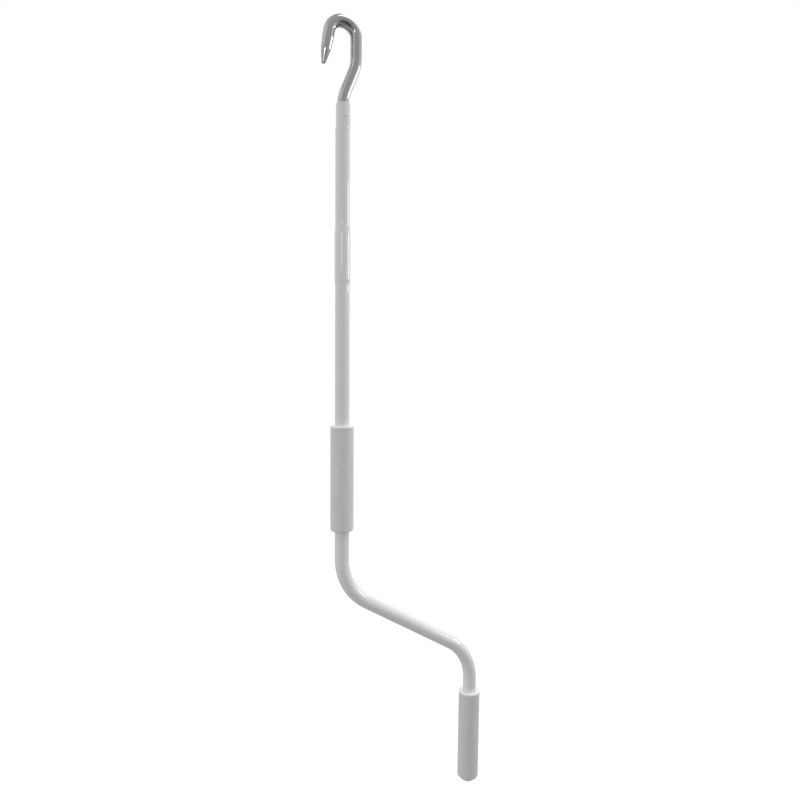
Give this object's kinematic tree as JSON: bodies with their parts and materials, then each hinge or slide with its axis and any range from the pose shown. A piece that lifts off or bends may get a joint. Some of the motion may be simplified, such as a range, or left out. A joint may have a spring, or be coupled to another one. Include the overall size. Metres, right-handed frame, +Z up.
{
  "type": "hand winding crank",
  "caption": "Hand winding crank: a hook-ended white tube bent into an offset handle, with a free-turning grip on the shaft and another on the crank end.",
  "frame": {"origin": "seat of the hook: the highest point inside its arch, on the axis of the shaft, where the crank hangs", "axes": "+Z up along the shaft towards the hook, +X towards the thrown cranking grip, +Y away from a viewer who sees the throw to the right"},
  "size_m": [0.1827, 0.023, 0.7915],
  "materials": {
    "chrome_hook": "bright chrome plate",
    "white_lacquer": "gloss white lacquer",
    "grey_grip": "satin light grey",
    "warm_grey_grip": "satin light grey, slightly warm",
    "white_nylon": "satin off-white",
    "spring_steel": "plain spring steel"
  },
  "bodies": {
    "crank": {"hook": "chrome_hook", "upper_tube": "white_lacquer", "crank_tube": "white_lacquer", "tube_end_plug": "white_nylon", "shaft_grip_upper_ring": "spring_steel", "shaft_grip_upper_washer": "spring_steel", "shaft_grip_lower_washer": "spring_steel", "shaft_grip_lower_ring": "spring_steel", "crank_grip_ring": "spring_steel", "crank_grip_washer": "spring_steel"},
    "shaft_grip": {"shaft_grip_sleeve": "grey_grip", "shaft_grip_upper_bush": "white_nylon", "shaft_grip_lower_bush": "white_nylon"},
    "crank_grip": {"crank_grip_sleeve": "warm_grey_grip", "crank_grip_upper_bush": "white_nylon", "crank_grip_lower_bush": "white_nylon"}
  },
  "joints": [
    {"name": "shaft_grip_spin", "type": "hinge", "parent": "crank", "child": "shaft_grip", "pos_m": [0, 0, -0.42365], "axis": [0, 0, 1], "continuous": true},
    {"name": "crank_grip_spin", "type": "hinge", "parent": "crank", "child": "crank_grip", "pos_m": [0.15, 0, -0.72795], "axis": [0, 0, 1], "continuous": true}
  ]
}
